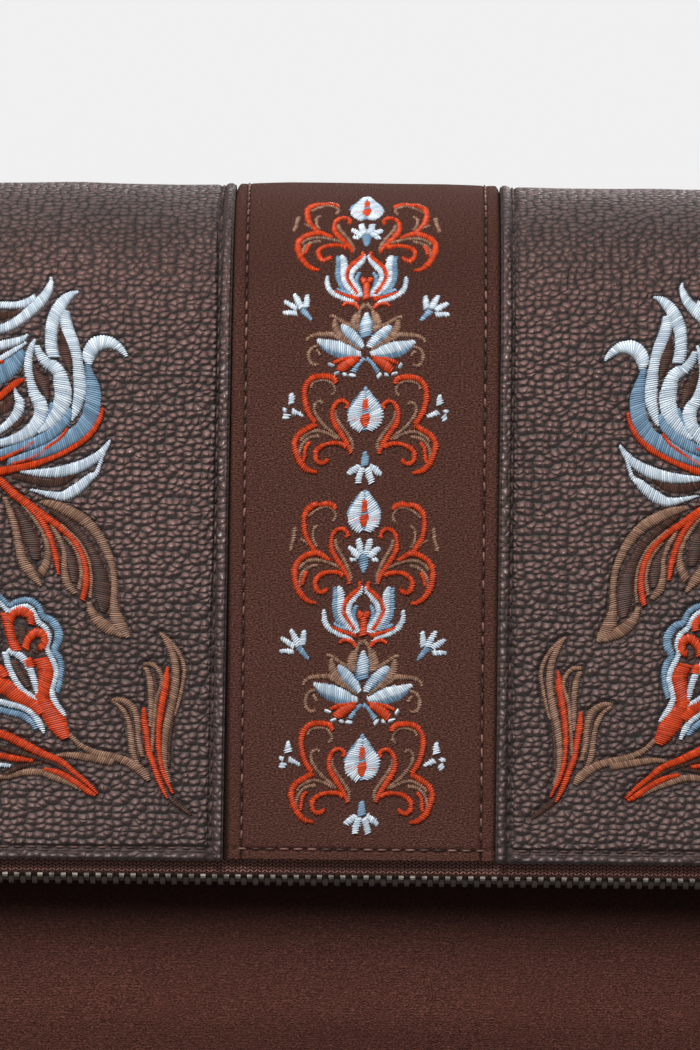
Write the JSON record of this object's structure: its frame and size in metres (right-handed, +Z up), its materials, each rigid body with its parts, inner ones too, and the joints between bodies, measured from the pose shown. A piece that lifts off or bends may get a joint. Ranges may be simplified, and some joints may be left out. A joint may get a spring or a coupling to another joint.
{
  "type": "crossbody bag",
  "caption": "Soft flap bag with a zipped flap edge, pebbled leather panels over an embroidered suede strip, velour body and a clip-on carrying strap.",
  "frame": {"origin": "the point of the bag's flat base that lies straight below the crown of the flap, midway between the gussets", "axes": "+X to the right as seen from the front, -Y towards the viewer at the front of the flap, +Z up"},
  "size_m": [0.3126, 0.1088, 0.2155],
  "materials": {
    "leather": "dark brown pebbled leather, satin",
    "suede": "brown faux suede, matt",
    "velour": "brown velour, matt with a soft sheen",
    "lining_cloth": "plain woven lining, dull satin",
    "zip_tape": "herringbone woven tape, matt",
    "padding": "soft felt interlining, matt",
    "board": "grey-brown stiffening board",
    "zip_metal": "bright nickel-plated brass",
    "nickel": "nickel-plated, polished",
    "magnet": "plain plated disc"
  },
  "bodies": {
    "root": {"front_panel": "velour", "base_panel": "velour", "gusset_left": "velour", "gusset_right": "velour", "back_leather_left": "leather", "back_leather_right": "leather", "back_strip": "suede", "base_board": "board", "front_padding": "padding", "back_padding": "padding", "lining": "lining_cloth", "slip_pocket": "lining_cloth", "mouth_binding": "leather", "ear_binding_left": "leather", "ear_binding_right": "leather", "body_magnet": "magnet", "strap_tab_left": "leather", "strap_tab_right": "leather", "tab_rivets": "nickel", "snap_hook_left": "nickel", "snap_hook_right": "nickel", "swivel_eye_left": "nickel", "swivel_eye_right": "nickel", "strap": "leather", "strap_rivets": "nickel"},
    "flap": {"flap_leather_left": "leather", "flap_leather_right": "leather", "flap_strip": "suede", "flap_padding": "padding", "flap_pocket_lining": "lining_cloth", "flap_inner_panel": "velour", "flap_magnet": "magnet", "zip_tape_front": "zip_tape", "zip_tape_back": "zip_tape", "zip_teeth_front": "zip_metal", "zip_teeth_back": "zip_metal", "zip_stops": "zip_metal"},
    "zip_slider": {"zip_slider": "zip_metal"},
    "zip_puller": {"zip_puller": "zip_metal"},
    "d_ring_left": {"d_ring_left": "nickel"},
    "d_ring_right": {"d_ring_right": "nickel"},
    "hook_gate_left": {"hook_gate_left": "nickel"},
    "hook_gate_right": {"hook_gate_right": "nickel"}
  },
  "joints": [
    {"name": "flap_hinge", "type": "hinge", "parent": "root", "child": "flap", "pos_m": [0, 0.0438, 0.172], "axis": [-1, 0, 0], "range_deg": [0, 165]},
    {"name": "zip_slide", "type": "slide", "parent": "flap", "child": "zip_slider", "axis": [-1, 0, 0], "range_m": [0, 0.244], "deforming": ["zip_teeth_front", "zip_teeth_back"]},
    {"name": "puller_hinge", "type": "hinge", "parent": "zip_slider", "child": "zip_puller", "pos_m": [0.1224, -0.03818, 0.06094], "axis": [0, 0.9397, -0.342], "range_deg": [-80, 80]},
    {"name": "d_ring_left_hinge", "type": "hinge", "parent": "root", "child": "d_ring_left", "pos_m": [-0.1432, 0.028, 0.15], "axis": [0, -1, 0], "range_deg": [-1, 8]},
    {"name": "d_ring_right_hinge", "type": "hinge", "parent": "root", "child": "d_ring_right", "pos_m": [0.1432, 0.028, 0.15], "axis": [0, 1, 0], "range_deg": [-1, 8]},
    {"name": "hook_gate_left_hinge", "type": "hinge", "parent": "root", "child": "hook_gate_left", "pos_m": [-0.15456, 0.028, 0.12447], "axis": [0, 1, 0], "range_deg": [0, 28], "stiffness_Nm_per_rad": 0.01, "springref_deg": -11.46},
    {"name": "hook_gate_right_hinge", "type": "hinge", "parent": "root", "child": "hook_gate_right", "pos_m": [0.15456, 0.028, 0.12447], "axis": [0, -1, 0], "range_deg": [0, 28], "stiffness_Nm_per_rad": 0.01, "springref_deg": -11.46}
  ]
}
